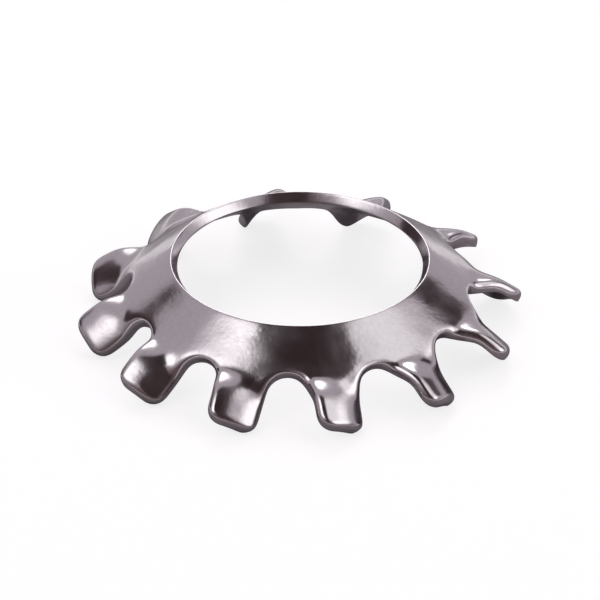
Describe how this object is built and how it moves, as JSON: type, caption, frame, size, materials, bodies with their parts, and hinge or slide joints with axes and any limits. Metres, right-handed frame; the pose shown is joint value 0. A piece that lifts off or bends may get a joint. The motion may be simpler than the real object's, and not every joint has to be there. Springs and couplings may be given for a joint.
{
  "type": "toothed lock washer",
  "caption": "Countersunk toothed lock washer: a thin steel cone with a plain hole and a ring of twisted outer teeth.",
  "frame": {"origin": "on the hole's axis, in the plane that the tooth tips stand on", "axes": "+Z along the hole's axis, from the tips up towards the small end; +X along the centre line of one tooth"},
  "size_m": [0.0152, 0.0152, 0.0029],
  "materials": {
    "steel": "polished stainless steel"
  },
  "bodies": {
    "root": {"washer": "steel"}
  },
  "joints": []
}
